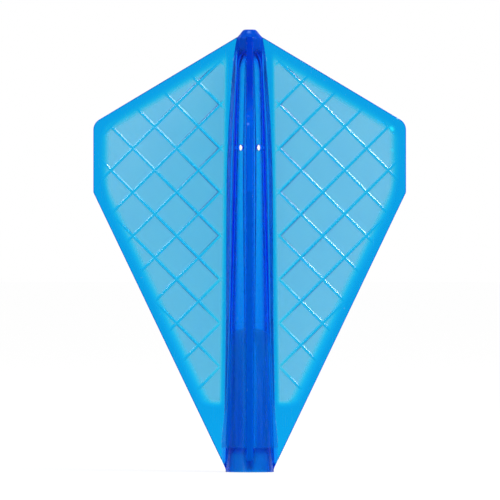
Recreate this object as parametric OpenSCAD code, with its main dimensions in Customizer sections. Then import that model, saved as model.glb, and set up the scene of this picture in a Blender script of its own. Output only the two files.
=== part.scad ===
// Four-wing moulded flight: a hollow stem that plugs onto a shaft, and four kite-shaped wings at right angles.
// Millimetres. The origin is the centre of the socket's mouth, +Z runs along the stem to its tip,
// and the wings lie in the XZ and YZ planes.

/* [Overall] */
// Length of the flight, from the socket's mouth to the stem's tip
flight_len = 44; // [42:0.5:48]
// Distance from the stem's axis to a wing's outer edge
wing_reach = 15.55; // [13.55:0.5:18.05]

/* [Wing outline] */
// Height of a wing's upper corner above the mouth
shoulder_z = 34.7; // [32.7:0.5:36.7]
// Height of a wing's lower corner above the mouth
hip_z = 27.8; // [24.8:0.5:29.8]
// How far inside the stem's rim a wing's lower edge would reach the mouth's plane
foot_inset = 0.15; // [0.05:0.05:0.45]
// Radius of the upper corner
shoulder_r = 1.2; // [0.6:0.1:2]
// Radius of the lower corner
hip_r = 0.4; // [0.2:0.1:1]

/* [Wing section] */
// Thickness of the rim around a wing
rim_t = 0.6; // [0.5:0.05:0.8]
// Width of the rim, square to the wing's edge
rim_w = 1.2; // [0.7:0.05:1.7]
// Thickness of the thin pane inside the rim
pane_t = 0.3; // [0.2:0.05:0.4]
// Width of the rim left between the root rail and the pane, near the tip
root_strip_top = 0.65; // [0.5:0.05:1]
// Width of the rim left between the root rail and the pane, near the mouth
root_strip_foot = 0.35; // [0.25:0.05:0.7]
// Width of the pane at its foot
pane_foot_w = 1.4; // [1.2:0.1:3]
// Radius of the pane's corners
pane_corner_r = 0.7; // [0.3:0.1:0.8]

/* [Lattice] */
// Distance between neighbouring ribs that run the same way
rib_pitch = 3.075; // [2.5:0.025:4]
// Width of a rib
rib_w = 0.27; // [0.15:0.01:0.4]
// Height of a rib above the pane's face
rib_h = 0.12; // [0.05:0.01:0.14]
// Distance from the axis to the crossing that the lattice is laid out from
crossing_x = 2.93; // [2.5:0.01:4]
// Height of that crossing below the stem's tip
crossing_drop = 7.45; // [6:0.05:9]
// Height of the strip at the pane's foot that has no ribs
bare_foot_h = 1.5; // [0.5:0.1:3]

/* [Stem] */
// Outer radius of the stem at the mouth
stem_r_mouth = 2.4; // [2.35:0.05:2.5]
// Outer radius of the stem where its rounded tip starts
stem_r_tip = 1; // [0.95:0.05:1.1]
// Height of the rounded tip
tip_round_h = 0.5; // [0.4:0.1:0.7]
// Radius of the flat on top of the tip
tip_flat_r = 0.5; // [0.3:0.05:0.6]
// Thickness of the stem's wall just above the socket
wall_t_low = 0.6; // [0.45:0.05:0.8]
// Thickness of the stem's wall at the upper end of its hollow
wall_t_high = 0.2; // [0.1:0.05:0.4]
// Plastic left above the hollow, at the tip
tip_t = 1.9; // [1.5:0.1:3]

/* [Wing roots] */
// Thickness of the rail along each wing's root
root_t = 1.1; // [0.8:0.05:1.2]
// How far the rail stands out from the stem at its top end
rail_out_top = 0.25; // [0.2:0.05:0.4]
// How far it stands out where its taper starts near the tip
rail_out_knee = 0.52; // [0.42:0.02:0.62]
// Distance of that place below the stem's tip
root_knee_drop = 3; // [2.5:0.5:5]
// How far it stands out at the vent holes
rail_out_vent = 0.64; // [0.5:0.02:0.72]
// How far it stands out just above the flare
rail_out_low = 0.23; // [0.17:0.02:0.33]
// How far it stands out on the flare at the mouth
rail_out_flare = 0.5; // [0.4:0.05:0.6]
// Height at which the flare has its full width
flare_z = 3; // [2:0.25:4]
// Height at which the flare starts
flare_top_z = 6.5; // [5.5:0.25:7.5]

/* [Socket] */
// Radius of the socket's bore
socket_r = 1.5; // [1.4:0.05:1.6]
// Depth of the socket, from the mouth to the top of its rounded end
socket_depth = 14.15; // [12.15:0.5:18.15]
// Radius of the socket's rounded end
socket_end_r = 0.5; // [0.3:0.1:0.8]
// Thickness of the step between the socket and the hollow above it
socket_step_t = 0.7; // [0.5:0.1:2]
// Thickness of the stem's wall around the wider mouth
mouth_wall_t = 0.5; // [0.4:0.05:0.6]
// Depth of the wider mouth
mouth_depth = 1.7; // [1.2:0.1:2.5]
// Length of the cone that leads from the mouth into the bore
lead_in = 0.8; // [0.4:0.1:1.2]

/* [Vent holes] */
// Radius of the four holes through the stem
vent_r = 0.34; // [0.25:0.01:0.4]
// Distance of the holes' centres below the stem's tip
vent_drop = 11.75; // [10.75:0.5:13.75]

/* [Hidden] */

// Turn of each wing about the stem's axis
right = 0;
back = 90;
left = 180;
front = 270;

// Facets of a full turn, and of a corner's arc
round_fn = 96;
corner_steps = 8;

// Cutting tools reach this far past what they cut
past = 1;

// Heights along the stem
collar_top = mouth_depth + lead_in;
sleeve_top = socket_depth + socket_step_t;
hollow_top = flight_len - tip_t;
tip_base = flight_len - tip_round_h;
root_knee_z = flight_len - root_knee_drop;
vent_z = flight_len - vent_drop;
crossing_z = flight_len - crossing_drop;

// Outer radius of the stem at a height
function stem_r(z) = stem_r_mouth + (stem_r_tip - stem_r_mouth) * z / tip_base;

mouth_r = stem_r_mouth - mouth_wall_t;
hollow_r_low = stem_r(sleeve_top) - wall_t_low;
hollow_r_high = stem_r(hollow_top) - wall_t_high;

// ---- Lines and corners -------------------------------------------------

function unit(v) = v / norm(v);

// Where the line through p along u meets the line through q along v
function meet(p, u, q, v) =
    p + u * ((q.x - p.x) * v.y - (q.y - p.y) * v.x) / (u.x * v.y - u.y * v.x);

// An edge is [point, direction]. Taken clockwise, its inside is on its right.
function inset(edge, d) = [edge[0] + d * unit([edge[1].y, -edge[1].x]), edge[1]];
function corner(a, b) = meet(a[0], a[1], b[0], b[1]);

// The arc of radius r that replaces corner b between its neighbours a and c
function corner_arc(a, b, c, r) =
    let (
        u = unit(a - b),
        v = unit(c - b),
        half = acos(u * v) / 2,
        centre = b + unit(u + v) * r / sin(half),
        start = b + u * r / tan(half) - centre,
        stop = b + v * r / tan(half) - centre,
        turn = (atan2(stop.y, stop.x) - atan2(start.y, start.x) + 540) % 360 - 180,
        from = atan2(start.y, start.x)
    )
    [for (i = [0 : corner_steps]) let (a = from + turn * i / corner_steps) centre + r * [cos(a), sin(a)]];

// ---- Outlines, as [distance from the axis, height] ---------------------

top_edge = [[0, flight_len], [wing_reach, shoulder_z - flight_len]];
side_edge = [[wing_reach, shoulder_z], [0, -1]];
foot_x = stem_r_mouth - foot_inset;
lower_edge = [[wing_reach, hip_z], [foot_x - wing_reach, -hip_z]];

shoulder = corner(top_edge, side_edge);
hip = corner(side_edge, lower_edge);

// Points on the wing's top and lower edges, given their distance from the axis
function on_top(x) = meet(top_edge[0], top_edge[1], [x, 0], [0, 1]);
function on_foot(x) = meet(lower_edge[0], lower_edge[1], [x, 0], [0, 1]);

// Edge of the root rail, from its foot up, where rail and wing meet
root_x_low = stem_r(flare_top_z) + rail_out_low;
root_x_knee = stem_r(root_knee_z) + rail_out_knee;
root_foot = on_foot(stem_r(flare_z) + rail_out_flare);
root_top = on_top(stem_r_tip + rail_out_top);
root_line = [
    root_foot,
    [root_foot.x, flare_z],
    [root_x_low, flare_top_z],
    [stem_r(vent_z) + rail_out_vent, vent_z],
    [root_x_knee, root_knee_z],
    root_top
];

function wing_outline() = concat(
    root_line,
    corner_arc(root_top, shoulder, hip, shoulder_r),
    corner_arc(shoulder, hip, root_foot, hip_r)
);

// Outline of the pane, which is also the window in the rim
function pane_outline() =
    let (
        slope = inset(lower_edge, rim_w),
        foot = [root_x_low + root_strip_foot, 0],
        foot_z = meet(slope[0], slope[1], foot + [pane_foot_w, 0], [0, 1]).y,
        edges = [
            inset(top_edge, rim_w),
            inset(side_edge, rim_w),
            slope,
            [[foot.x, foot_z], [-1, 0]],
            [[foot.x, foot_z], [root_x_knee + root_strip_top, root_knee_z] - [foot.x, foot_z]]
        ],
        n = len(edges),
        corners = [for (i = [0 : n - 1]) corner(edges[i], edges[(i + 1) % n])]
    )
    [for (i = [0 : n - 1])
        each corner_arc(corners[(i + n - 1) % n], corners[i], corners[(i + 1) % n], pane_corner_r)];

// ---- Building blocks ---------------------------------------------------

// A flat outline of [x, z] points, t thick about the plane of a wing
module upright(t) {
    rotate([90, 0, 0])
        linear_extrude(t, center = true)
            children();
}

module on_wing(turn) {
    rotate([0, 0, turn])
        children();
}

// The stem's outside between two heights
module stem_outside(from_z, to_z) {
    rotate_extrude($fn = round_fn)
        polygon([[0, from_z], [stem_r(from_z), from_z], [stem_r(to_z), to_z], [0, to_z]]);
}

// How far each point of the pane's outline lies from the lattice's crossing, square to the ribs of one lean
function across(lean) =
    [for (point = pane_outline()) (point - [crossing_x, crossing_z]) * [cos(lean), sin(lean)]];

// Flat pattern of ribs both ways, kept to the pane
module rib_pattern() {
    rib_l = 2 * norm([wing_reach, flight_len]);
    foot_z = min([for (point = pane_outline()) point.y]);
    intersection() {
        polygon(pane_outline());
        translate([0, foot_z + bare_foot_h])
            square([wing_reach, flight_len]);
        for (lean = [-45, 45], i = [ceil(min(across(lean)) / rib_pitch) : floor(max(across(lean)) / rib_pitch)])
            translate([crossing_x, crossing_z])
                rotate(lean)
                    translate([i * rib_pitch, 0])
                        square([rib_w, rib_l], center = true);
    }
}

// ---- Sub-parts ---------------------------------------------------------

// Hollow, tapering tube above the socket, with a vent hole in each quarter
module stem_tube() {
    color("RoyalBlue")
        difference() {
            stem_outside(sleeve_top, hollow_top);
            rotate_extrude($fn = round_fn)
                polygon([
                    [0, sleeve_top - past],
                    [hollow_r_low, sleeve_top - past],
                    [hollow_r_low, sleeve_top],
                    [hollow_r_high, hollow_top],
                    [hollow_r_high, hollow_top + past],
                    [0, hollow_top + past]
                ]);
            for (turn = [45 : 90 : 315])
                rotate([0, 0, turn])
                    translate([0, 0, vent_z])
                        rotate([0, 90, 0])
                            cylinder(h = stem_r_mouth + past, r = vent_r, $fn = 32);
        }
}

// Closed, rounded end of the stem
module stem_tip() {
    bulge = stem_r_tip - tip_flat_r;
    color("MediumBlue")
        rotate_extrude($fn = round_fn)
            polygon(concat(
                [[0, hollow_top], [stem_r(hollow_top), hollow_top]],
                [for (i = [0 : corner_steps])
                    let (a = 90 * i / corner_steps)
                    [tip_flat_r + bulge * cos(a), tip_base + tip_round_h * sin(a)]],
                [[0, flight_len]]
            ));
}

// Sleeve that holds the shaft, with its blind bore rounded off at the top
module socket_sleeve() {
    round_z = socket_depth - socket_end_r;
    color("MediumBlue")
        difference() {
            stem_outside(collar_top, sleeve_top);
            translate([0, 0, collar_top - past])
                cylinder(h = round_z - collar_top + past, r = socket_r, $fn = round_fn);
            rotate_extrude($fn = round_fn)
                polygon(concat(
                    [[0, round_z - past], [socket_r, round_z - past]],
                    [for (i = [0 : corner_steps])
                        let (a = 90 * i / corner_steps)
                        [socket_r - socket_end_r * (1 - cos(a)), round_z + socket_end_r * sin(a)]],
                    [[0, socket_depth]]
                ));
            translate([0, 0, socket_depth - past])
                cylinder(h = socket_step_t + 2 * past, r = hollow_r_low, $fn = round_fn);
        }
}

// Wide-mouthed ring at the foot of the stem, which leads the shaft into the bore
module mouth_collar() {
    color("DodgerBlue")
        difference() {
            stem_outside(0, collar_top);
            translate([0, 0, -past])
                cylinder(h = mouth_depth + past, r = mouth_r, $fn = round_fn);
            translate([0, 0, mouth_depth])
                cylinder(h = lead_in, r1 = mouth_r, r2 = socket_r, $fn = round_fn);
            translate([0, 0, mouth_depth])
                cylinder(h = lead_in + past, r = socket_r, $fn = round_fn);
        }
}

// Thick rail that carries one wing along the stem
module root_rail(turn) {
    color("MediumBlue")
        on_wing(turn)
            difference() {
                upright(root_t)
                    polygon(concat([[0, 0], [foot_x, 0]], root_line, [[0, flight_len]]));
                stem_outside(-past, flight_len + past);
            }
}

// Thick rim of one wing, around the window for its pane
module wing_rim(turn) {
    color("DeepSkyBlue")
        on_wing(turn)
            difference() {
                upright(rim_t)
                    polygon(wing_outline());
                upright(rim_t + past)
                    polygon(pane_outline());
            }
}

// Thin, frosted pane inside one wing's rim
module wing_pane(turn) {
    color("SkyBlue")
        on_wing(turn)
            upright(pane_t)
                polygon(pane_outline());
}

// Raised diagonal ribs on both faces of one pane
module wing_lattice(turn) {
    color("Turquoise")
        on_wing(turn)
            for (side = [-1, 1])
                translate([0, side * (pane_t + rib_h) / 2, 0])
                    upright(rib_h)
                        rib_pattern();
}

stem_tube();
stem_tip();
socket_sleeve();
mouth_collar();
root_rail(right);  // root_rail_right
root_rail(back);  // root_rail_back
root_rail(left);  // root_rail_left
root_rail(front);  // root_rail_front
wing_rim(right);  // wing_rim_right
wing_rim(back);  // wing_rim_back
wing_rim(left);  // wing_rim_left
wing_rim(front);  // wing_rim_front
wing_pane(right);  // wing_pane_right
wing_pane(back);  // wing_pane_back
wing_pane(left);  // wing_pane_left
wing_pane(front);  // wing_pane_front
wing_lattice(right);  // wing_lattice_right
wing_lattice(back);  // wing_lattice_back
wing_lattice(left);  // wing_lattice_left
wing_lattice(front);  // wing_lattice_front
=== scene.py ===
import bpy
import bmesh
import math
from mathutils import Matrix, Vector
from mathutils.bvhtree import BVHTree
from mathutils.geometry import delaunay_2d_cdt


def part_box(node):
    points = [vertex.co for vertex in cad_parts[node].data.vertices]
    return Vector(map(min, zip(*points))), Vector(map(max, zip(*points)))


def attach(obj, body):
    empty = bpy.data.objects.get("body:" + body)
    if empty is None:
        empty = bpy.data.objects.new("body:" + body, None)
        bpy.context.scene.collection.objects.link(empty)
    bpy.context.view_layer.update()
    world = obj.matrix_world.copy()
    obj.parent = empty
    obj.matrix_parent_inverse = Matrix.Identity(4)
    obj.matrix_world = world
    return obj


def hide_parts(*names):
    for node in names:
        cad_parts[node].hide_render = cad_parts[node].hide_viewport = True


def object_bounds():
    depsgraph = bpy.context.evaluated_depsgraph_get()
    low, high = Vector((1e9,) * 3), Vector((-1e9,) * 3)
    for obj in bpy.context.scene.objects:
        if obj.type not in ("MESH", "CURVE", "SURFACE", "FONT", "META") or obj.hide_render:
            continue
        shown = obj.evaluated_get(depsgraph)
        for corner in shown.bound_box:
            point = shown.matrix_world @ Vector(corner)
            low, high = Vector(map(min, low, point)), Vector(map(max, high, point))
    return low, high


# A kite-shaped dart flight moulded in one piece: four wings at right angles on a hollow stem.
# It stands on its mouth, and the camera looks along +Y at the right and left wings.

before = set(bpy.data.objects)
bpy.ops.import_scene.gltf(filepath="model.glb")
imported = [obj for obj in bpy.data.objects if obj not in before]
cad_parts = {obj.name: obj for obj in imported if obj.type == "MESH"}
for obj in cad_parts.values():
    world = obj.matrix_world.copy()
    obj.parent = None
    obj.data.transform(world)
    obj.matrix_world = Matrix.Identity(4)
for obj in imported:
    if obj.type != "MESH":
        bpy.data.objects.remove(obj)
cadLow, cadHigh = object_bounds()
print("frame loaded:", len(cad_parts), "CAD nodes")

scene = bpy.context.scene
mm = 0.001  # every mesh below is worked out in millimetres and written in metres


def addObject(name, data):
    made = bpy.data.objects.new(name, data)
    scene.collection.objects.link(made)
    return made


# Where things show in the photograph, in its own pixels
imagePoints = {
    "size": (500, 500),
    "left": 93.4, "right": 406.0, "top": 29.5, "bottom": 471.9,
    "ventLeft": (241.8, 147.8), "ventRight": (259.1, 148.0),
    "shoulderLeft": (96.0, 122.8), "shoulderRight": (403.5, 122.8),
    "hipLeft": (93.6, 191.5), "hipRight": (405.8, 191.5),
    "crossingRight": (323.8, 148.3), "crossingLeft": (178.0, 148.3),
    "socketTop": (259.0, 330.0), "mouthLeft": (226.0, 472.0),
    # the glints are places for painted highlights
    "cornerGlint": (391.5, 129.0), "lowGlint": (392.0, 150.0), "shoulderGlint": (398.0, 118.0),
    "stripGlint": (248.0, 124.0), "stripGlintHigh": (248.0, 116.0), "tipGlint": (249.0, 32.0),
}
photoWidth, photoHeight = imagePoints["size"]
longSide = max(photoWidth, photoHeight)

# The camera's lens is settled by the points left and right, then its place by all four edges
cameraValues = {
    "distance": 1.0,  # metres from the wings' plane: the photograph's perspective is nearly flat
    "sensorWidth": 36.0,
    "shift": (0.0, 0.0),
    "farthest": 100.0,  # metres that it still sees
}


def settleCamera():
    metresPerPixel = (cadHigh.x - cadLow.x) / (imagePoints["right"] - imagePoints["left"])
    middleX = (imagePoints["left"] + imagePoints["right"]) / 2
    middleY = (imagePoints["top"] + imagePoints["bottom"]) / 2
    camera = addObject("camera", bpy.data.cameras.new("camera"))
    scene.camera = camera
    data = camera.data
    data.type = "PERSP"
    data.sensor_fit = "AUTO"
    data.sensor_width = cameraValues["sensorWidth"]
    data.lens = data.sensor_width * cameraValues["distance"] / (longSide * metresPerPixel)
    data.shift_x, data.shift_y = cameraValues["shift"]
    data.clip_end = cameraValues["farthest"]
    camera.location = (
        (cadLow.x + cadHigh.x) / 2 + (photoWidth / 2 - middleX) * metresPerPixel,
        -cameraValues["distance"],
        (cadLow.z + cadHigh.z) / 2 + (middleY - photoHeight / 2) * metresPerPixel,
    )
    camera.rotation_euler = (math.radians(90), 0, 0)
    bpy.context.view_layer.update()
    return camera


camera = settleCamera()


def pixelOf(point):
    data = camera.data
    local = camera.matrix_world.inverted() @ Vector(point)
    scale = longSide * data.lens / data.sensor_width / -local.z
    return (
        photoWidth / 2 - data.shift_x * longSide + local.x * scale,
        photoHeight / 2 + data.shift_y * longSide - local.y * scale,
    )


print("camera settled: lens", round(camera.data.lens, 1), "mm")

# Flat geometry. A point is (distance from the stem's axis, height above the mouth), and an edge is
# (point, direction) with its inside on its right.


def inwardOf(edge):
    return Vector((edge[1].y, -edge[1].x)).normalized()


def toward(edge, distance):
    return edge[0] + inwardOf(edge) * distance, edge[1]


def depthIn(edge, point):
    return (point - edge[0]).dot(inwardOf(edge))


def meet(edgeA, edgeB):
    (p, u), (q, v) = edgeA, edgeB
    return p + u * ((q.x - p.x) * v.y - (q.y - p.y) * v.x) / (u.x * v.y - u.y * v.x)


def levelAt(z):
    return Vector((0, z)), Vector((1, 0))


def uprightAt(x):
    return Vector((x, 0)), Vector((0, 1))


def cornerArc(before, corner, after, radius, count):
    u, v = (before - corner).normalized(), (after - corner).normalized()
    half = u.angle(v) / 2
    centre = corner + (u + v).normalized() * (radius / math.sin(half))
    start = corner + u * (radius / math.tan(half)) - centre
    stop = corner + v * (radius / math.tan(half)) - centre
    turn = math.atan2(start.x * stop.y - start.y * stop.x, start.dot(stop))
    return [centre + Matrix.Rotation(turn * i / count, 2) @ start for i in range(count + 1)]


def smooth(t):
    t = min(max(t, 0.0), 1.0)
    return t * t * (3 - 2 * t)


def steps(start, stop, count):
    return [start + (stop - start) * i / count for i in range(count + 1)]


def alongLine(line, z):
    for (z0, x0), (z1, x1) in zip(line, line[1:]):
        if z <= z1:
            return x0 + (x1 - x0) * max(z - z0, 0) / (z1 - z0)
    return line[-1][1]


# Outline of a wing, in millimetres
outlineValues = {
    "shoulderHeight": 34.7,
    "hipHeight": 27.8,
    "shoulderRadius": 1.2,
    "hipRadius": 0.4,
    "footInset": 0.15,  # the lower edge ends this far inside the mouth's edge
    "arcSteps": (10, 6),  # points round the shoulder and round the hip
}
# Outside of the stem and of the rails along it, in millimetres
stemValues = {
    # height and radius: slightly bellied below the tip, which flares and then rounds off
    "radiusLine": ((0.0, 2.4), (27.0, 1.54), (33.0, 1.41), (37.0, 1.34), (41.0, 1.25), (42.4, 1.25),
                   (43.1, 1.30), (43.3, 1.19), (43.53, 0.98), (43.83, 0.755), (43.95, 0.62), (44.0, 0.5)),
    # height, and how far from the axis a root rail ends and its wing starts
    "railLine": ((0.0, 2.80), (3.0, 2.80), (4.2, 2.70), (5.2, 2.58), (6.6, 2.50), (12.0, 2.42),
                 (22.0, 2.33), (30.0, 2.27), (34.5, 2.10), (37.0, 1.92), (41.0, 1.66), (43.5, 1.22)),
    "railHalf": 0.4,  # half of a root rail's width
    "railSlope": 0.42,  # its shoulders fall to the wing's face over this width
    "railFillet": 0.5,  # fillet between rail and stem
    "jointGap": 0.003,  # hair's breadth between neighbouring pieces of the stem
    "rootGap": 0.002,  # and between a rail and its wing
    "creaseAngle": 40,  # degrees: sharper edges stay sharp in the shading
}
# How finely a ring round the stem is drawn, and how its parts give way where room is short
ringValues = {
    "slopeSteps": 6, "filletSteps": 4, "roundSteps": 7,
    "railShare": 0.9,  # a rail is at most this share of the stem's width
    "endShare": 0.6,  # one more point at this share of the rail's end
    "slopeShare": 0.8,  # a shoulder takes at most this share of the rail's side
    "filletShare": 1.2,  # and a fillet this share of what the shoulder leaves
    "filletShrink": 0.95,
    "leastFillet": 0.001,
    "flatShare": 0.08,  # points this near the ends of the rail's face keep its shading flat
}

flightLength = cadHigh.z / mm
wingReach = cadHigh.x / mm
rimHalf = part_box("wing_rim_right")[1].y / mm
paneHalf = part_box("wing_pane_right")[1].y / mm
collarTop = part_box("mouth_collar")[1].z / mm
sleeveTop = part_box("socket_sleeve")[1].z / mm
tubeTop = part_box("stem_tube")[1].z / mm


def stemRadius(z):
    return alongLine(stemValues["radiusLine"], z)


def railEdge(z):
    return alongLine(stemValues["railLine"], z)


hipHeight = outlineValues["hipHeight"]
footX = stemRadius(0) - outlineValues["footInset"]
topEdge = (Vector((0, flightLength)), Vector((wingReach, outlineValues["shoulderHeight"] - flightLength)))
sideEdge = (Vector((wingReach, outlineValues["shoulderHeight"])), Vector((0, -1)))
lowerEdge = (Vector((wingReach, hipHeight)), Vector((footX - wingReach, -hipHeight)))


def railReach(z):  # where a rail ends, cut off by the wing's top and lower edges
    return min(railEdge(z), meet(topEdge, levelAt(z)).x, meet(lowerEdge, levelAt(z)).x)


def ringAt(z):
    s, r = stemValues, ringValues
    radius, reach = stemRadius(z), railReach(z)
    half = min(s["railHalf"], radius * r["railShare"])
    onCircle = math.sqrt(radius ** 2 - half ** 2)
    side = max(reach - onCircle, 0)
    end = min(rimHalf, half * r["railShare"])
    slope = min(s["railSlope"], side * r["slopeShare"])
    fillet = min(s["railFillet"], max(side - slope, 0) * r["filletShare"])

    def filletStart(fillet):
        return math.sqrt((radius + fillet) ** 2 - (half + fillet) ** 2)

    while filletStart(fillet) > max(reach - slope, onCircle) and fillet > r["leastFillet"]:
        fillet *= r["filletShrink"]
    points = [(reach, 0), (reach, end * r["endShare"])]
    for t in steps(0, 1, r["slopeSteps"]):
        points.append((reach - slope * t, end + (half - end) * (t + smooth(t)) / 2))
    filletX = filletStart(fillet)
    flat = max(reach - slope - filletX, 0) * r["flatShare"]
    points += [(reach - slope - flat, half), (filletX + flat, half)]
    points = [(max(x, math.sqrt(radius ** 2 - y ** 2)), y) for x, y in points]
    stop = math.atan2(half + fillet, filletX)
    for a in steps(0, math.pi / 2 - stop, r["filletSteps"]):
        points.append((filletX - fillet * math.sin(a), half + fillet - fillet * math.cos(a)))
    for a in steps(stop, math.pi / 4, r["roundSteps"])[1:]:
        points.append((radius * math.cos(a), radius * math.sin(a)))
    quarter = [(x, -y) for x, y in reversed(points[1:])] + points
    ring = []
    for turn in range(4):
        spin = Matrix.Rotation(turn * math.pi / 2, 2)
        ring += [spin @ Vector(p) for p in quarter[:-1]]
    return ring


# Inside of the stem, in millimetres
hollowValues = {
    "line": ((14.15, 1.52), (27.0, 1.27), (37.0, 1.07), (41.0, 0.97), (43.0, 0.9)),  # height and radius
    "domeHeight": 2.4,  # its upper end is rounded over this height
    "domeFlat": 0.02,  # and keeps a small flat in the middle
    "domeSteps": 8,
    "facets": 96,
}
socketValues = {
    "radius": 1.5,
    "depth": 14.15,
    "endRadius": 0.5,  # rounding of its upper end, which its frosted skin shows
    "mouthRadius": 1.9,
    "mouthDepth": 1.7,
    "wallRing": 8.0,  # height of one ring half way up its wall
    "fineFrom": 13.5,  # from here its rings are close, to draw the rounded end of the frost
    "fineSteps": 14,
    "stepHeight": 0.05,  # left between the last of them and the step to the hollow
}
# Rings up the outside of each piece: the height where a stretch ends, or None for the piece's top,
# and how many steps it has
stretches = {
    "collar": ((None, 12),),
    "sleeve": ((7.0, 12), (None, 6)),
    "tube": ((40.5, 16), (None, 4)),
    "tip": ((43.0, 8), (43.2, 4), (43.4, 2), (43.53, 1), (43.65, 1), (43.75, 1), (43.83, 1), (43.9, 1),
            (43.95, 1), (43.98, 1), (44.0, 1)),
}
tight = {"merge": 0.0004, "sliver": 0.0002, "level": 0.0001, "line": 0.00001}  # mm: what counts as one


def hollowRadius(z):
    left = min((tubeTop - z) / hollowValues["domeHeight"], 1)
    dome = math.sqrt(max(1 - (1 - left) ** 2, hollowValues["domeFlat"]))
    return alongLine(hollowValues["line"], z) * dome


def heightsOf(base, top, piece):
    heights = [base]
    for stop, count in stretches[piece]:
        heights += steps(heights[-1], top if stop is None else stop, count)[1:]
    return heights


def newPiece(name, build):
    bm = bmesh.new()
    build(bm)
    bmesh.ops.remove_doubles(bm, verts=bm.verts, dist=tight["merge"])
    bmesh.ops.dissolve_degenerate(bm, dist=tight["sliver"], edges=bm.edges)
    bmesh.ops.recalc_face_normals(bm, faces=bm.faces)
    if bm.calc_volume(signed=True) < 0:
        bmesh.ops.reverse_faces(bm, faces=bm.faces)
    bmesh.ops.scale(bm, vec=(mm, mm, mm), verts=bm.verts)
    mesh = bpy.data.meshes.new(name)
    bm.to_mesh(mesh)
    bm.free()
    return addObject(name, mesh)


def joinRings(bm, rings):
    for lower, upper in zip(rings, rings[1:]):
        for i in range(len(lower)):
            j = (i + 1) % len(lower)
            bm.faces.new((lower[i], lower[j], upper[j], upper[i]))


def stemPiece(name, heights, inside):  # inside: the radius and height of each ring of its bore
    def onLevel(vertex, z):
        return abs(vertex.co.z - z) < tight["level"]

    def build(bm):
        joinRings(bm, [[bm.verts.new((p.x, p.y, z)) for p in ringAt(z)] for z in heights])
        turns = [2 * math.pi * i / hollowValues["facets"] for i in range(hollowValues["facets"])]
        joinRings(bm, [[bm.verts.new((r * math.cos(a), r * math.sin(a), z)) for a in turns]
                       for r, z in inside])
        bmesh.ops.remove_doubles(bm, verts=bm.verts, dist=tight["merge"])
        for end in (heights[0], heights[-1]):
            edges = [e for e in bm.edges if e.is_boundary and all(onLevel(v, end) for v in e.verts)]
            bmesh.ops.triangle_fill(bm, use_beauty=True, edges=edges)
        if heights[0] > 0:
            foot = [v for v in bm.verts if onLevel(v, heights[0])]
            bmesh.ops.translate(bm, verts=foot, vec=(0, 0, stemValues["jointGap"]))
    return newPiece(name, build)


socketRadius, socketDepth = socketValues["radius"], socketValues["depth"]
sleeveBore = [(socketRadius, collarTop), (socketRadius, socketValues["wallRing"])]
sleeveBore += [(socketRadius, z) for z in steps(
    socketValues["fineFrom"], socketDepth - socketValues["stepHeight"], socketValues["fineSteps"])]
sleeveBore += [(hollowRadius(sleeveTop), z) for z in (socketDepth, sleeveTop)]
domeStart = tubeTop - hollowValues["domeHeight"]
tubeBore = steps(sleeveTop, domeStart, hollowValues["domeSteps"])
tubeBore += steps(domeStart, tubeTop, hollowValues["domeSteps"])[1:]

mouthCollar = stemPiece("mouthCollar", heightsOf(0, collarTop, "collar"), [
    (socketValues["mouthRadius"], 0), (socketValues["mouthRadius"], socketValues["mouthDepth"]),
    (socketRadius, collarTop)])
socketSleeve = stemPiece("socketSleeve", heightsOf(collarTop, sleeveTop, "sleeve"), sleeveBore)
stemTube = stemPiece("stemTube", heightsOf(sleeveTop, tubeTop, "tube"),
                     [(hollowRadius(z), z) for z in tubeBore])
stemTip = stemPiece("stemTip", heightsOf(tubeTop, flightLength, "tip"), [])
print("stem pieces made")

# Vents: four round holes into the hollow, between the wings, in millimetres
ventValues = {
    "radius": 0.34,
    "drop": 11.75,  # below the flight's top
    "reach": 2.0,  # length of what drills them
    "middle": 1.3,  # and how far its middle lies from the axis
    "facets": 32,
}
ventHeight = flightLength - ventValues["drop"]


def drillVents(piece):
    radius = ventValues["radius"] * mm
    for turn in (45, 135, 225, 315):
        drill = bmesh.new()
        bmesh.ops.create_cone(drill, cap_ends=True, segments=ventValues["facets"], radius1=radius,
                              radius2=radius, depth=ventValues["reach"] * mm)
        place = (Matrix.Rotation(math.radians(turn), 4, "Z")
                 @ Matrix.Translation((ventValues["middle"] * mm, 0, ventHeight * mm))
                 @ Matrix.Rotation(math.radians(90), 4, "Y"))
        bmesh.ops.transform(drill, matrix=place, verts=drill.verts)
        mesh = bpy.data.meshes.new("drill")
        drill.to_mesh(mesh)
        drill.free()
        tool = addObject("drill", mesh)
        cut = piece.modifiers.new("vent", "BOOLEAN")
        cut.object = tool
        cut.operation = "DIFFERENCE"
        cut.solver = "EXACT"
        bpy.context.view_layer.update()
        drilled = piece.evaluated_get(bpy.context.evaluated_depsgraph_get())
        done = bpy.data.meshes.new_from_object(drilled)
        piece.modifiers.clear()
        piece.data = done
        bpy.data.objects.remove(tool)
        bpy.data.meshes.remove(mesh)


drillVents(stemTube)
print("vents drilled")

# What the mould left on the stem, and painted light in its fillets. Haze is the share of light that the dye
# scatters near the surface, in the fillets partly painted light; frost is how far the surface is
# spark-eroded. Widths and heights in millimetres.
stemSkin = {
    "near": 0.02,  # a place this near a wall lies on it
    "collarHaze": 0.1,
    "boreFrost": (0.8, 0.2, 0.6),  # on the bore's left, what its right has more, and over what width
    "frostEnd": 0.08,  # the frost's rounded end is this soft
    "haze": 0.08,
    "sleeveHaze": (0.24, 1.5),  # more of it beside the socket, fading over this height
    "filletPaintedLight": 0.4,  # and more again in the fillets beside the rails: painted light, for the light that gathers there
    "filletSpan": (0.38, 0.1, 0.8, 0.25),  # beside a rail's middle: start, rise, end, fall
    "tipHaze": (0.7, 41.2, 1.2),  # at the tip, from this height, rising over this height
}


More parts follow.
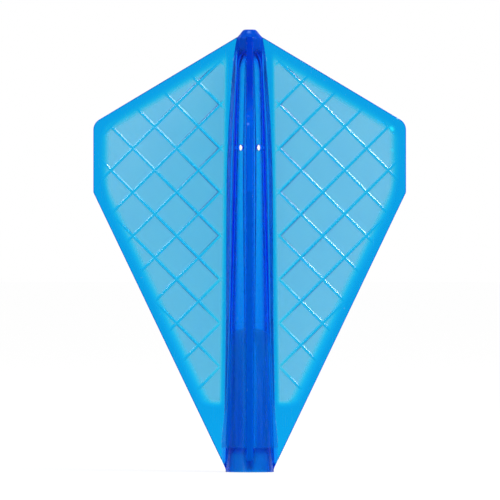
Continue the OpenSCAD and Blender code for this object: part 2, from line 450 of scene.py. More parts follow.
def stemFinish(x, y, z):
    s = stemSkin
    radius = math.hypot(x, y)
    if z < collarTop:
        outside = radius > socketValues["mouthRadius"] + s["near"]
        return (s["collarHaze"], 0.0) if outside else (0.0, 1.0)
    if radius < socketRadius + s["near"] and z < socketDepth + s["near"] / 2:
        endRadius = socketValues["endRadius"]
        beside = max(abs(x) - (socketRadius - endRadius), 0)
        top = socketDepth - endRadius + math.sqrt(max(endRadius ** 2 - beside ** 2, 0))
        frost, more, width = s["boreFrost"]
        return 0.0, (frost + more * smooth(x / width)) * smooth((top - z) / s["frostEnd"])
    if radius < hollowRadius(z) + s["near"]:
        return 0.0, 0.0
    # painted light: the haze rises in the fillets beside a rail's middle
    start, rise, end, fall = s["filletSpan"]
    off = min(abs(x), abs(y))
    fillet = smooth((off - start) / rise) * smooth((end - off) / fall)
    more, height = s["sleeveHaze"]
    haze = s["haze"] + (more + s["filletPaintedLight"] * fillet) * smooth((socketDepth - z) / height)
    most, start, height = s["tipHaze"]
    return max(haze, most * smooth((z - start) / height)), 0.0


def shadeByAngle(piece, degrees):
    bm = bmesh.new()
    bm.from_mesh(piece.data)
    for face in bm.faces:
        face.smooth = True
    for edge in bm.edges:
        edge.smooth = len(edge.link_faces) == 2 and edge.calc_face_angle(0) < math.radians(degrees)
    bm.to_mesh(piece.data)
    bm.free()


def noteSkin(piece, haze, frost):  # the plastics read these two by name
    for label, values in (("edge", haze), ("frost", frost)):
        piece.data.attributes.new(label, "FLOAT", "POINT").data.foreach_set("value", values)


stemPieces = (mouthCollar, socketSleeve, stemTube, stemTip)
for piece in stemPieces:
    shadeByAngle(piece, stemValues["creaseAngle"])
    finish = [stemFinish(*(v.co / mm)) for v in piece.data.vertices]
    noteSkin(piece, [haze for haze, frost in finish], [frost for haze, frost in finish])
print("stem finished")

# The pane of a wing and the slope round it, in millimetres
paneValues = {
    "slopeStart": 0.45,  # the rim is flat this far in from the wing's edge
    "slopeEnd": 1.75,  # and the pane starts this far in
    "rootSlope": (0.22, 0.32),  # how far the slope reaches to either side of its middle, at the root
    "footSlope": 0.4,
    "footIn": 1.2,  # the pane's foot is measured this far in from the lower edge
    "footWidth": 1.4,
    "footStrip": (6.6, 0.27),  # height where the pane's line beside the rail starts, and its distance
    "kneeStrip": (41.0, 0.59),  # and the same at its upper end
    "rootCalm": 0.25,  # how much of the slope at the root shows in the shading
    "calmWidth": 0.8,
    "contours": 6,  # lines of the mesh up the slope, and points round its corners
    "cornerSteps": 6,
}
ribValues = {
    "pitch": 3.075,
    "halfWidth": 0.18,  # from a rib's middle to the foot of its flank
    "crest": 0.03,  # half of its flat top
    "ease": 0.2,  # share of the flank that rounds off at top and foot
    "height": 0.085,
    "crossing": (2.93, 36.55),
    "bareFoot": 1.4,  # the pane's foot has no ribs up to here
    "footFade": 0.12,
    "rootFade": (0.1, 0.7),  # beside the rail they rise from here, over this width
    "slopeFade": (0.75, 0.6),  # shares of the slope where they end, and over which they fade
    "polish": 3,  # the frost is gone at a third of a rib's height
    # lines of the mesh along each rib, in half widths from its middle
    "lines": (-1.17, -0.95, -0.84, -0.34, -0.1, 0, 0.1, 0.34, 0.84, 0.95, 1.17),
    "rows": 14,  # ribs to either side of the crossing, before they are clipped
    "clip": 0.2,  # their lines start at this share of the slope, clear of its contours
    "shortest": 0.05,
}
edgeValues = {
    "rounding": 0.1,
    "steps": 4,  # a quarter round has this many
    "hazeTurn": 2,  # haze is full at half of the quarter round
    "rootTop": 43.2,  # heights where the rail's line is read for the wing's two ends
    "rootFoot": 1.5,
    "rootHeights": (1.7, 2.2, 3.0, 3.6, 4.2, 4.7, 5.2, 5.9, 6.6, 9.0, 12.0, 17.0, 22.0, 27.0, 32.25, 37.0,
                    41.0, 42.2),
}


def wingShape():  # each edge of the pane, with how far in its slope starts and ends
    v = paneValues
    rimSlope = (v["slopeStart"], v["slopeEnd"])
    (footHeight, footStrip), (kneeHeight, kneeStrip) = v["footStrip"], v["kneeStrip"]
    footX = railEdge(footHeight) + footStrip
    foot = Vector((footX, meet(toward(lowerEdge, v["footIn"]), uprightAt(footX + v["footWidth"])).y))
    knee = Vector((railEdge(kneeHeight) + kneeStrip, kneeHeight))
    rootOut, rootIn = v["rootSlope"]
    return [(topEdge, *rimSlope), (sideEdge, *rimSlope), (lowerEdge, *rimSlope),
            ((foot, Vector((-1, 0))), -v["footSlope"], v["footSlope"]),
            ((foot, knee - foot), -rootOut, rootIn)]


paneEdges = wingShape()
rootSlopeEdge, rootSlopeStop = paneEdges[-1][::2]
ribFloor = rootSlopeEdge[0].y + ribValues["bareFoot"]


def slopeShare(point):  # 0 on the pane, 1 on the flat of the rim
    total = 0
    for edge, start, stop in paneEdges:
        total += max((stop - depthIn(edge, point)) / (stop - start), 0) ** 2
    return math.sqrt(total)


def contour(share):  # the line round the pane where slopeShare has this value
    points = []
    for i in range(len(paneEdges)):
        (edgeA, startA, stopA), (edgeB, startB, stopB) = paneEdges[i], paneEdges[(i + 1) % len(paneEdges)]
        for a in steps(0, math.pi / 2, paneValues["cornerSteps"]) if share > 0 else [0]:
            insetA = stopA - share * math.cos(a) * (stopA - startA)
            insetB = stopB - share * math.sin(a) * (stopB - startB)
            points.append(meet(toward(edgeA, insetA), toward(edgeB, insetB)))
    return points


def ribProfile(distance):
    crest, foot, ease = ribValues["crest"], ribValues["halfWidth"], ribValues["ease"]
    share = (foot - abs(distance)) / (foot - crest)
    nearest = min(share, 1 - share)  # its foot and its top are rounded alike
    if nearest < ease:
        nearest = max(nearest + ease, 0) ** 2 / (4 * ease)
    return nearest if share < 0.5 else 1 - nearest


def ribShare(point):  # 1 on the crest of a rib, 0 between ribs
    pitch = ribValues["pitch"]
    offset = point - Vector(ribValues["crossing"])
    best = 0
    for direction in (Vector((1, 1)).normalized(), Vector((1, -1)).normalized()):
        across = offset.dot(direction) / pitch
        best = max(best, ribProfile((across - round(across)) * pitch))
    return best


def rimRise(point):
    return (rimHalf - paneHalf) * smooth(slopeShare(point))


def ribRise(point):
    r = ribValues
    (slopeEnd, slopeWidth), (rootStart, rootWidth) = r["slopeFade"], r["rootFade"]
    inside = smooth((slopeEnd - slopeShare(point)) / slopeWidth)
    inside *= smooth((depthIn(rootSlopeEdge, point) - rootStart) / rootWidth)
    return r["height"] * ribShare(point) * inside * smooth((point.y - ribFloor) / r["footFade"])


def slopeOf(rise, point, near=0.005):
    return Vector([(rise(point + aside) - rise(point - aside)) / (2 * near)
                   for aside in (Vector((near, 0)), Vector((0, near)))])


def clipToPane(middle, direction):
    start, stop = -2 * flightLength, 2 * flightLength
    for edge, slopeStart, slopeStop in paneEdges:
        inset = toward(edge, slopeStart + ribValues["clip"] * (slopeStop - slopeStart))
        rate, depth = direction.dot(inwardOf(edge)), depthIn(inset, middle)
        if abs(rate) < 1e-9:
            if depth < 0:
                return None
        elif rate > 0:
            start = max(start, -depth / rate)
        else:
            stop = min(stop, -depth / rate)
    if stop - start <= ribValues["shortest"]:
        return None
    return middle + direction * start, middle + direction * stop


def outlineAt(depth):  # the wing's free edge from the tip round to the mouth, this far in
    gap = stemValues["rootGap"]
    top, side, lower = toward(topEdge, depth), toward(sideEdge, depth), toward(lowerEdge, depth)
    rootTop = meet(top, uprightAt(railEdge(edgeValues["rootTop"]) + gap))
    rootFoot = meet(lower, uprightAt(railEdge(edgeValues["rootFoot"]) + gap))
    shoulder, hip = meet(top, side), meet(side, lower)
    roundShoulder, roundHip = outlineValues["arcSteps"]
    outer = [rootTop]
    outer += cornerArc(rootTop, shoulder, hip, outlineValues["shoulderRadius"] - depth, roundShoulder)
    outer += cornerArc(shoulder, hip, rootFoot, outlineValues["hipRadius"] - depth, roundHip)
    outer.append(rootFoot)
    return outer


faceRoot = [Vector((railEdge(z) + stemValues["rootGap"], z)) for z in edgeValues["rootHeights"]]


def wingFace():  # one flat mesh whose lines follow the outline, the slope and every rib
    points, edges = [], []

    def addLine(line, closed=True):
        first = len(points)
        points.extend(line)
        edges.extend((first + i, first + i + 1) for i in range(len(line) - 1))
        if closed:
            edges.append((first + len(line) - 1, first))

    addLine(outlineAt(edgeValues["rounding"]) + faceRoot)
    boundary = list(range(len(points)))
    for share in steps(1, 0, paneValues["contours"]):
        addLine(contour(share))
    origin, rows = Vector(ribValues["crossing"]), ribValues["rows"]
    for sign in (1, -1):
        across, along = Vector((1, sign)).normalized(), Vector((1, -sign)).normalized()
        for i in range(-rows, rows + 1):
            for part in ribValues["lines"]:
                aside = i * ribValues["pitch"] + part * ribValues["halfWidth"]
                line = clipToPane(origin + across * aside, along)
                if line:
                    addLine(line, closed=False)
    found = delaunay_2d_cdt(points, edges, [boundary], 1, tight["line"])
    return found[0], found[2]


def faceShape(point):  # half thickness, its slope in both directions, and frost
    calm = paneValues["rootCalm"]
    fade = smooth((depthIn(rootSlopeEdge, point) - rootSlopeStop) / paneValues["calmWidth"])
    slope = slopeOf(rimRise, point) * (calm + (1 - calm) * fade) + slopeOf(ribRise, point)
    onRib = min(ribRise(point) / ribValues["height"] * ribValues["polish"], 1)
    frost = smooth(1 - 2 * slopeShare(point)) * (1 - onRib)
    return paneHalf + rimRise(point) + ribRise(point), slope.x, slope.y, frost


faceVerts, faceTris = wingFace()
faceShapes = [faceShape(point) for point in faceVerts]
print("wing face:", len(faceVerts), "points,", len(faceTris), "faces")


def wingPiece(name, turn):
    rounding, count = edgeValues["rounding"], edgeValues["steps"]
    turns = steps(0, math.pi / 2, count)
    verts, normals, frost, haze, faces = [], [], [], [], []
    known = {}

    def vertexAt(x, y, z, normal, frostHere=0, hazeHere=0):
        key = (round(x, 4), round(y, 4), round(z, 4))
        if key not in known:
            known[key] = len(verts)
            verts.append((x, y, z))
            normals.append(Vector(normal).normalized())
            frost.append(frostHere)
            haze.append(hazeHere)
        return known[key]

    def joinLines(lower, upper):
        for i in range(len(lower) - 1):
            faces.append((lower[i], lower[i + 1], upper[i + 1], upper[i]))

    for side in (-1, 1):
        index = [vertexAt(p.x, side * half, p.y, (-slopeX, side, -slopeZ), frostHere)
                 for p, (half, slopeX, slopeZ, frostHere) in zip(faceVerts, faceShapes)]
        for tri in faceTris:
            corners = [index[i] for i in tri]
            faces.append(corners if side < 0 else corners[::-1])
    # rounded edge: lines from the front face round to the back face
    lines = []
    for side, order in ((-1, range(count + 1)), (1, range(count, -1, -1))):
        for k in order:
            outline = outlineAt(rounding * (1 - math.sin(turns[k])))
            half = rimHalf - rounding + rounding * math.cos(turns[k])
            hazeHere = smooth(k / count * edgeValues["hazeTurn"])
            line = []
            for i, p in enumerate(outline):
                before, after = outline[max(i - 1, 0)], outline[min(i + 1, len(outline) - 1)]
                along = (after - before).normalized()
                sine, cosine = math.sin(turns[k]), math.cos(turns[k])
                normal = (-along.y * sine, side * cosine, along.x * sine)
                line.append(vertexAt(p.x, side * half, p.y, normal, 0, hazeHere))
            lines.append(line)
    for lower, upper in zip(lines, lines[1:]):
        joinLines(lower, upper)
    # root: closed between its front and back line
    front = [vertexAt(p.x, -rimHalf, p.y, (-1, 0, 0)) for p in faceRoot]
    back = [vertexAt(p.x, rimHalf, p.y, (-1, 0, 0)) for p in faceRoot]
    joinLines(front, back)
    faces.append([line[0] for line in lines] + [back[-1], front[-1]])
    faces.append([line[-1] for line in reversed(lines)] + [front[0], back[0]])

    spin = Matrix.Rotation(math.radians(turn), 3, "Z")
    mesh = bpy.data.meshes.new(name)
    mesh.from_pydata([spin @ Vector(v) * mm for v in verts], [], faces)
    bm = bmesh.new()
    bm.from_mesh(mesh)
    bmesh.ops.recalc_face_normals(bm, faces=bm.faces)
    for face in bm.faces:
        face.smooth = True
    bm.to_mesh(mesh)
    bm.free()
    piece = addObject(name, mesh)
    noteSkin(piece, haze, frost)
    mesh.normals_split_custom_set_from_vertices([spin @ n for n in normals])
    return piece


wings = {side: wingPiece("wing" + side.title(), turn)
         for side, turn in (("right", 0), ("back", 90), ("left", 180), ("front", 270))}
print("wings made")


def linearColour(hexText):
    parts = [int(hexText[i:i + 2], 16) / 255 for i in (0, 2, 4)]
    return [p / 12.92 if p <= 0.04045 else ((p + 0.055) / 1.055) ** 2.4 for p in parts] + [1]


def addNode(tree, kind, sockets=None, **settings):  # a socket takes a value, or a node or its output
    node = tree.nodes.new("ShaderNode" + kind)
    for name, value in settings.items():
        setattr(node, name, value)
    for key, value in (sockets or {}).items():
        if isinstance(value, bpy.types.Node):
            value = value.outputs[0]
        if isinstance(value, bpy.types.NodeSocket):
            tree.links.new(value, node.inputs[key])
        else:
            node.inputs[key].default_value = value
    return node


def startMaterial(name):
    material = bpy.data.materials.new(name)
    material.use_nodes = True
    material.node_tree.nodes.clear()
    return material, material.node_tree


# Blue dyed polycarbonate, injection moulded: clear, and a deeper blue where it is thicker. The panes are
# milky and pale where the mould was spark-eroded, the rims and the stem polished.
dyeValues = {
    "passPerMm": (0.00005, 0.2, 0.985),  # share of red, green and blue light left after 1 mm
    "headroom": 1.02,  # keeps the volume's red just above black
    "ior": 1.5,
    "milkTint": "f4f4ee",  # what the spark-eroded skin scatters
    "milkTintDeep": "eef0ee",  # and where the dye has drifted
    "milkDrift": 0.02,  # the skin lets this much more or less through from pit to pit
    "topShadeTurn": (34.0, 38.0),  # mm: heights over which painted shade turns the haze skin darker toward the top
    "streaks": (0.85, 1.15),  # the haze varies between these with the flow marks
}
# gloss and matte: roughness where polished and where eroded. clear: share of light that an eroded
# skin lets through. hazeTint, hazeTintShadedTop: the dye's colour below topShadeTurn, darker above it as
# painted shade.
wingPlasticValues = {
    "name": "polycarbonate, moulded, spark-eroded pane",
    "gloss": 0.06, "matte": 0.35, "clear": 0.875,
    "tint": "ffffec", "hazeTint": "0058d4", "hazeTintShadedTop": "0030ae",
}
stemPlasticValues = {
    "name": "polycarbonate, moulded, polished",
    "gloss": 0.16, "matte": 0.35, "clear": 0.78,
    "tint": "ffffff", "hazeTint": "007ce8", "hazeTintShadedTop": "0050d6",
}
# Sizes of the surface's patterns, in millimetres on the part
grainValues = {
    "pit": 0.11,  # pits of spark erosion: finer in life, drawn as coarse as a pixel needs
    "pitDepth": 0.0035,
    "cloud": 3.5,  # slow drift of the dye
    "flow": (0.3, 8.0),  # flow marks run up the stem: width, length
    "glossDrift": (0.75, 1.35),  # and make the polish finer or coarser by these factors
    "scratch": (0.09, 3.0),  # fine scratches: width, length
    "scratchLean": 0.7,
    "scratchGloss": 0.3,  # roughness in them
}
# A pattern's noise counts from the first of each pair, and in full from the second
noiseSpans = {"pit": (0.3, 0.7), "cloud": (0.35, 0.7), "flow": (0.35, 0.65), "scratch": (0.66, 0.72)}
# Pale specks on the polished faces: partly wear, partly painted glints of sparkle
wearAndGlintSpecks = {"pitch": 1.3, "radius": 0.055, "core": 0.5, "strength": 0.55, "tint": "9adcf4"}


def pattern(tree, place, size, detail, lean=0.0):  # noise stretched to marks of this width and length
    width, length = size
    stretched = addNode(tree, "Mapping", {
        "Vector": place, "Rotation": (0, lean, 0),
        "Scale": (1 / (width * mm), 1 / (width * mm), 1 / (length * mm))})
    noise = addNode(tree, "TexNoise", {"Vector": stretched, "Scale": 1.0, "Detail": detail})
    return noise.outputs["Fac"]


def spread(name, least=0.0, most=1.0):  # sockets that turn this noise into values from least to most
    start, stop = noiseSpans[name]
    return {"From Min": start, "From Max": stop, "To Min": least, "To Max": most}


def plasticMaterial(v, paintedGlints):
    g, d, s = grainValues, dyeValues, wearAndGlintSpecks
    material, tree = startMaterial(v["name"])
    place = addNode(tree, "TexCoord").outputs["Object"]
    frost = addNode(tree, "Attribute", attribute_name="frost").outputs["Fac"]
    haze = addNode(tree, "Attribute", attribute_name="edge").outputs["Fac"]
    pits = pattern(tree, place, (g["pit"], g["pit"]), detail=2.0)
    cloud = pattern(tree, place, (g["cloud"], g["cloud"]), detail=3.0)
    flow = pattern(tree, place, g["flow"], detail=2.0)
    scratch = pattern(tree, place, g["scratch"], detail=1.0, lean=g["scratchLean"])

    # gloss drifts with the flow marks and drops in fine scratches
    finer, coarser = g["glossDrift"]
    drift = addNode(tree, "MapRange", {
        "Value": flow, **spread("flow", v["gloss"] * finer, v["gloss"] * coarser)})
    scratched = addNode(tree, "MapRange", {"Value": scratch, **spread("scratch", drift, g["scratchGloss"])})
    rough = addNode(tree, "MapRange", {"Value": frost, "To Min": scratched, "To Max": v["matte"]})

    # the eroded skin is milky, a little unevenly
    uneven = addNode(tree, "MapRange", {
        "Value": pits, **spread("pit", v["clear"] - d["milkDrift"], v["clear"] + d["milkDrift"])})
    clear = addNode(tree, "MapRange", {"Value": frost, "To Min": 1.0, "To Max": uneven})
    clouded = addNode(tree, "MapRange", {"Value": cloud, **spread("cloud")})
    milk = addNode(tree, "Mix", {
        0: clouded, 6: linearColour(d["milkTint"]), 7: linearColour(d["milkTintDeep"]),
    }, data_type="RGBA")
    body = addNode(tree, "Mix", {
        0: frost, 6: linearColour(v["tint"]), 7: milk.outputs[2]}, data_type="RGBA")
    bump = addNode(tree, "Bump", {"Height": pits, "Strength": frost, "Distance": g["pitDepth"] * mm})
    shader = addNode(tree, "BsdfPrincipled", {
        "Base Color": body.outputs[2], "Roughness": rough,
        "Transmission Weight": clear, "IOR": d["ior"], "Normal": bump})

    # thick edges show the dye's own colour on a matte skin instead of what lies behind; in the stem's
    # fillets it is painted light
    position = addNode(tree, "NewGeometry").outputs["Position"]
    height = addNode(tree, "SeparateXYZ", {0: position}).outputs["Z"]
    # painted shade: the skin's colour turns darker toward the top
    lowest, highest = d["topShadeTurn"]
    deep = addNode(tree, "MapRange", {
        "Value": height, "From Min": lowest * mm, "From Max": highest * mm})
    glow = addNode(tree, "Mix", {
        0: deep, 6: linearColour(v["hazeTint"]), 7: linearColour(v["hazeTintShadedTop"]),
    }, data_type="RGBA")
    skin = addNode(tree, "BsdfDiffuse", {"Color": glow.outputs[2]})
    streak = addNode(tree, "MapRange", {"Value": flow, **spread("flow", *d["streaks"])})
    share = addNode(tree, "Math", {0: haze, 1: streak}, operation="MULTIPLY", use_clamp=True)
    surface = addNode(tree, "MixShader", {0: share, 1: shader, 2: skin})

    # pale specks, part wear and part painted glints, on the polished faces
    cells = addNode(tree, "TexVoronoi", {"Vector": place, "Scale": 1 / (s["pitch"] * mm)})
    reach = s["radius"] / s["pitch"]
    speck = addNode(tree, "MapRange", {
        "Value": cells.outputs["Distance"], "From Min": reach * s["core"], "From Max": reach,
        "To Min": s["strength"], "To Max": 0.0})
    polished = addNode(tree, "MapRange", {"Value": frost, "To Min": 1.0, "To Max": 0.0})
    speckShare = addNode(tree, "Math", {0: speck, 1: polished}, operation="MULTIPLY")
    speckPaint = addNode(tree, "BsdfDiffuse", {"Color": linearColour(s["tint"])})
    surface = addNode(tree, "MixShader", {0: speckShare, 1: surface, 2: speckPaint})

    # glints: painted highlights, small bright places on the moulding's corners
    for spot, radius, strength, tint in paintedGlints:
        away = addNode(tree, "VectorMath", {0: position, 1: spot}, operation="DISTANCE")
        soft = addNode(tree, "MapRange", {
            "Value": away.outputs["Value"], "From Min": 0.0, "From Max": radius * mm,
            "To Min": strength, "To Max": 0.0}, interpolation_type="SMOOTHSTEP")
        light = addNode(tree, "BsdfDiffuse", {"Color": linearColour(tint)})
        surface = addNode(tree, "MixShader", {0: soft, 1: surface, 2: light})

    # the volume takes from each colour what 1 mm of dyed plastic takes
    losses = [-math.log(share) / mm for share in d["passPerMm"]]
    density = max(losses) * d["headroom"]
    dye = addNode(tree, "VolumeAbsorption", {
        "Density": density, "Color": [1 - loss / density for loss in losses] + [1]})
    addNode(tree, "OutputMaterial", {"Surface": surface, "Volume": dye})
    return material


def placeOn(carrier, pixel):  # where the line of sight through an image point meets a finished piece
    data = camera.data
    inCamera = Vector((pixel[0] - photoWidth / 2 + data.shift_x * longSide,
                       photoHeight / 2 - pixel[1] + data.shift_y * longSide,
                       -longSide * data.lens / data.sensor_width))
    way = (camera.matrix_world.to_3x3() @ inCamera).normalized()
    surface = BVHTree.FromObject(carrier, bpy.context.evaluated_depsgraph_get())
    hit = surface.ray_cast(camera.location, way)[0]
    if hit is None:
        middle = sum((Vector(c) for c in carrier.bound_box), Vector()) / 8
        hit = surface.find_nearest(camera.location + way * (middle - camera.location).dot(way))[0]
    return hit


# Painted highlights at these image points: what a glint lies on, its radius in mm, strength and colour
paintedGlintValues = {
    "cornerGlint": (wings["right"], 0.45, 0.9, "28e6ff"),
    "lowGlint": (wings["right"], 0.3, 0.35, "28e6ff"),
    "shoulderGlint": (wings["right"], 0.16, 0.9, "9adcf4"),
    "stripGlint": (wings["front"], 0.2, 0.6, "6496f0"),
    "stripGlintHigh": (wings["front"], 0.16, 0.3, "6496f0"),
    "tipGlint": (stemTip, 0.3, 0.5, "6496f0"),
}
bpy.context.view_layer.update()
placed = {name: placeOn(carrier, imagePoints[name]) for name, (carrier, *look) in paintedGlintValues.items()}

for values, pieces in ((wingPlasticValues, tuple(wings.values())), (stemPlasticValues, stemPieces)):
    plastic = plasticMaterial(values, [
        (placed[name], *look) for name, (carrier, *look) in paintedGlintValues.items() if carrier in pieces])
    for piece in pieces:
        piece.data.materials.append(plastic)
print("plastics made")

# Studio: a white card floor and a white backdrop, with a dim room in front
roomValues = {
    "backdrop": 1.0,  # to the camera, and through the plastic
    "light": 0.85,  # on matte surfaces
    "gloss": 0.03,  # what a mirrored ray toward the room in front meets
    "turn": (0.25, 0.75),  # how far round to the back it has to go to meet the backdrop
}
cardValues = {
    "radius": 6.0,  # metres
    "drop": 0.02,  # mm below the mouth
    "scatter": (0.3, 0.02),  # what it scatters, and what a mirrored ray in front sees of it
    "glow": (0.735, 0.4),  # what it adds of its own: to the eye, to its surroundings
    "turn": (0.1, 0.4),  # metres behind the part where its mirrored image turns white
    "grain": 0.9,  # mm
    "grainDepth": 0.02,  # mm
    "grainBump": 0.2,
    "grainShade": 0.03,  # it is lighter and darker by this share
    "facets": 64,
}


def lightPathStrength(tree, seen, diffuse, gloss):  # one for what the eye sees, matte and mirrored rays
    path = addNode(tree, "LightPath")
    through = addNode(tree, "Math", {
        0: path.outputs["Is Camera Ray"], 1: path.outputs["Is Transmission Ray"]}, operation="MAXIMUM")
    mirrored = addNode(tree, "Mix", {
        0: path.outputs["Is Glossy Ray"], 2: diffuse, 3: gloss}, data_type="FLOAT")
    return addNode(tree, "Mix", {0: through, 2: mirrored, 3: seen}, data_type="FLOAT")


world = bpy.data.worlds.new("studio")
scene.world = world
world.use_nodes = True
tree = world.node_tree
tree.nodes.clear()
way = addNode(tree, "SeparateXYZ", {0: addNode(tree, "TexCoord").outputs["Generated"]})
front, rear = roomValues["turn"]
behind = addNode(tree, "MapRange", {
    "Value": way.outputs["Y"], "From Min": front, "From Max": rear,
    "To Min": roomValues["gloss"], "To Max": roomValues["backdrop"]}, interpolation_type="SMOOTHSTEP")
background = addNode(tree, "Background", {
    "Color": (1, 1, 1, 1),
    "Strength": lightPathStrength(tree, roomValues["backdrop"], roomValues["light"], behind)})
addNode(tree, "OutputWorld", {"Surface": background})

# Matte white card, rolled: an even white with a fine felt grain
cardMaterial, tree = startMaterial("card, rolled matte")
where = addNode(tree, "NewGeometry").outputs["Position"]
front, rear = cardValues["turn"]
back = addNode(tree, "MapRange", {
    "Value": addNode(tree, "SeparateXYZ", {0: where}).outputs["Y"],
    "From Min": front, "From Max": rear})
felt = addNode(tree, "TexNoise", {
    "Vector": where, "Scale": 1 / (cardValues["grain"] * mm), "Detail": 3.0})
scattered, hidden = cardValues["scatter"]
grainy = addNode(tree, "MapRange", {
    "Value": felt.outputs["Fac"], "To Min": scattered * (1 - cardValues["grainShade"]),
    "To Max": scattered * (1 + cardValues["grainShade"])})
mirroredCard = addNode(tree, "MapRange", {"Value": back, "To Min": hidden, "To Max": scattered})
shade = lightPathStrength(tree, grainy, grainy, mirroredCard)
cardBump = addNode(tree, "Bump", {
    "Height": felt.outputs["Fac"], "Strength": cardValues["grainBump"],
    "Distance": cardValues["grainDepth"] * mm})
card = addNode(tree, "BsdfDiffuse", {
    "Color": addNode(tree, "CombineColor", {0: shade, 1: shade, 2: shade}), "Normal": cardBump})
glowSeen, glowSpread = cardValues["glow"]
glowMirrored = addNode(tree, "MapRange", {"Value": back, "To Min": 0.0, "To Max": glowSeen})
glow = addNode(tree, "Emission", {
    "Color": (1, 1, 1, 1),
    "Strength": lightPathStrength(tree, glowSeen, glowSpread, glowMirrored)})
both = addNode(tree, "AddShader", {0: card, 1: glow})
addNode(tree, "OutputMaterial", {"Surface": both})

floorMesh = bpy.data.meshes.new("floor")
bm = bmesh.new()
bmesh.ops.create_circle(bm, cap_ends=True, segments=cardValues["facets"], radius=cardValues["radius"])
bmesh.ops.translate(bm, vec=(0, 0, -cardValues["drop"] * mm), verts=bm.verts)
bm.to_mesh(floorMesh)
bm.free()
floorMesh.materials.append(cardMaterial)
floor = addObject("floor", floorMesh)

# Four softboxes. Three stand beside the lines that the ribs' upper flanks mirror toward the camera, so
# only the flanks light up. The narrow one draws the line along the left root rail.
lampValues = {
    "distance": 0.6,  # metres
    "height": 24.0,  # mm: what they aim at
    "aside": 1.5,  # mm: the other way from the wing that they light
    "panel": 0.16,  # metres: side of the square panels
    "offset": 0.082,  # metres from such a line to a panel's middle
    "key": 1.6, "keySpill": 0.45, "fill": 0.5, "side": 0.09,  # watts
    "sideSize": (0.05, 0.5),
    "sideWay": (-0.5, -0.87, 0.0),
}


def softbox(name, direction, size, aside=0.0):
    aim = Vector((aside, 0, lampValues["height"] * mm))
    lamp = bpy.data.lights.new(name, "AREA")
    lamp.shape = "RECTANGLE"
    lamp.size, lamp.size_y = size
    lamp.energy = lampValues[name]
    holder = addObject(name, lamp)
    holder.location = aim + Vector(direction).normalized() * lampValues["distance"]
    holder.rotation_mode = "QUATERNION"
    holder.rotation_quaternion = (holder.location - aim).to_track_quat("Z", "Y")


def flankMirror(side):  # where a rib's upper flank sends the line of sight, and which way is outward
    lean = ribValues["height"] / (ribValues["halfWidth"] - ribValues["crest"]) / math.sqrt(2)
    normal = Vector((side * lean, -1, lean)).normalized()
    mirrored = Vector((0, 1, 0)) - 2 * normal.y * normal
    return mirrored, Vector((abs(mirrored.y) * side, abs(mirrored.x), 0)).normalized()


for name, side, turn in (("key", 1, 1), ("keySpill", 1, -1), ("fill", -1, 1)):
    mirrored, outward = flankMirror(side)
    beside = outward * (turn * lampValues["offset"] / lampValues["distance"])
    softbox(name, mirrored + beside, (lampValues["panel"],) * 2, aside=-lampValues["aside"] * mm * side)
softbox("side", lampValues["sideWay"], lampValues["sideSize"])
print("studio made")

# Light goes through many layers of clear plastic before it leaves the part
bounceValues = {"most": 40, "through": 40, "mirrored": 32, "transparent": 16}
scene.view_settings.view_transform = "Standard"
scene.cycles.max_bounces = bounceValues["most"]
scene.cycles.transmission_bounces = bounceValues["through"]
scene.cycles.glossy_bounces = bounceValues["mirrored"]
scene.cycles.transparent_max_bounces = bounceValues["transparent"]

# One moulding: every piece rides on its root, and stands for the CAD nodes of its zone
for piece, slotName, nodes in (
    (mouthCollar, "socket_plastic", ["mouth_collar"]),
    (socketSleeve, "socket_plastic", ["socket_sleeve"]),
    (stemTube, "stem_plastic", ["stem_tube"] + ["root_rail_" + side for side in wings]),
    (stemTip, "stem_plastic", ["stem_tip"]),
):
    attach(piece, "root")
    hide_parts(*nodes)
for side, piece in wings.items():
    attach(piece, "root")
    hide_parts("wing_rim_" + side, "wing_pane_" + side, "wing_lattice_" + side)
print("pieces placed")

# Where each thing shows, by the finished vertices, to tell how far it misses its image point
showValues = {
    "shoulderLean": 1.49,  # a shoulder lies farthest toward this much out for one up
    "hipLean": 0.235,  # and a hip toward this much down for one out
    "crossingReach": 12,  # pixels round a crossing's point in which its crest is looked for
    "crestBand": 0.002,  # mm below the thickest place that still is the crest
    "socketBand": (0.7, 1.2, 0.06),  # mm: the socket's end shows beside the strip: from, to, height
}


def shown(piece, keep=lambda place: True):  # keep: which places count, in millimetres
    return [pixelOf(v.co) for v in piece.data.vertices if keep(v.co / mm)]


def middleOf(pixels):
    xs, ys = [x for x, y in pixels], [y for x, y in pixels]
    return (min(xs) + max(xs)) / 2, (min(ys) + max(ys)) / 2


def cornerOf(piece, x, y):  # the pixel of it that lies farthest toward (x, y)
    return max(shown(piece), key=lambda pixel: pixel[0] * x + pixel[1] * y)


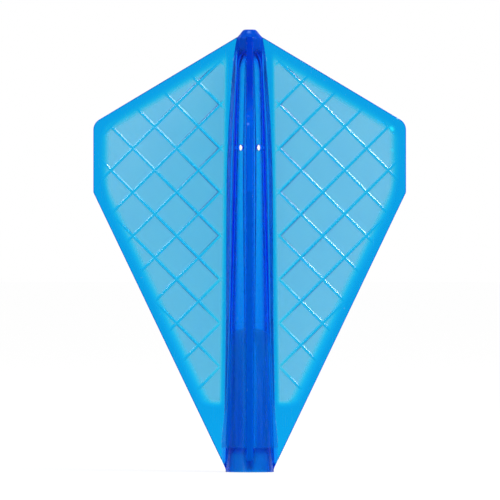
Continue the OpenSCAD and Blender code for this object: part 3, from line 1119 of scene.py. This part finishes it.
def crossingOf(piece, point):  # the thickest places near the point are the crossing's crest
    near = [(abs(v.co.y), pixelOf(v.co)) for v in piece.data.vertices
            if v.co.y < 0 and math.dist(pixelOf(v.co), point) < showValues["crossingReach"]]
    crest = max(thick for thick, pixel in near) - showValues["crestBand"] * mm
    return middleOf([pixel for thick, pixel in near if thick > crest])


def ventOn(side):
    axis = Vector((side, -1, 0)).normalized()

    def onWall(place):
        away = place - Vector((0, 0, ventHeight))
        fromAxis = (away - axis * away.dot(axis)).length
        return away.dot(axis) > 0 and abs(fromAxis - ventValues["radius"]) < stemSkin["near"]

    return middleOf(shown(stemTube, onWall))


def onSocketEnd(place):
    start, end, height = showValues["socketBand"]
    onWall = math.hypot(place.x, place.y) < socketRadius + stemSkin["near"]
    return onWall and abs(place.z - socketDepth) < height and place.y < 0 and start < place.x < end


xs, ys = zip(*[pixel for piece in (*stemPieces, *wings.values()) for pixel in shown(piece)])
shoulderLean, hipLean = showValues["shoulderLean"], showValues["hipLean"]
found = {
    "ventLeft": ventOn(-1),
    "ventRight": ventOn(1),
    "shoulderRight": cornerOf(wings["right"], shoulderLean, -1),
    "shoulderLeft": cornerOf(wings["left"], -shoulderLean, -1),
    "hipRight": cornerOf(wings["right"], 1, hipLean),
    "hipLeft": cornerOf(wings["left"], -1, hipLean),
    "crossingRight": crossingOf(wings["right"], imagePoints["crossingRight"]),
    "crossingLeft": crossingOf(wings["left"], imagePoints["crossingLeft"]),
    "socketTop": middleOf(shown(socketSleeve, onSocketEnd)),
    "mouthLeft": cornerOf(mouthCollar, -1, 1),
}
found.update({name: pixelOf(place) for name, place in placed.items()})
misses = {
    "left": (min(xs) - imagePoints["left"], 0),
    "right": (max(xs) - imagePoints["right"], 0),
    "top": (0, min(ys) - imagePoints["top"]),
    "bottom": (0, max(ys) - imagePoints["bottom"]),
}
for name, pixel in found.items():
    misses[name] = (pixel[0] - imagePoints[name][0], pixel[1] - imagePoints[name][1])
misses = {name: [round(x, 2), round(y, 2)] for name, (x, y) in misses.items()}
print("points:", misses)
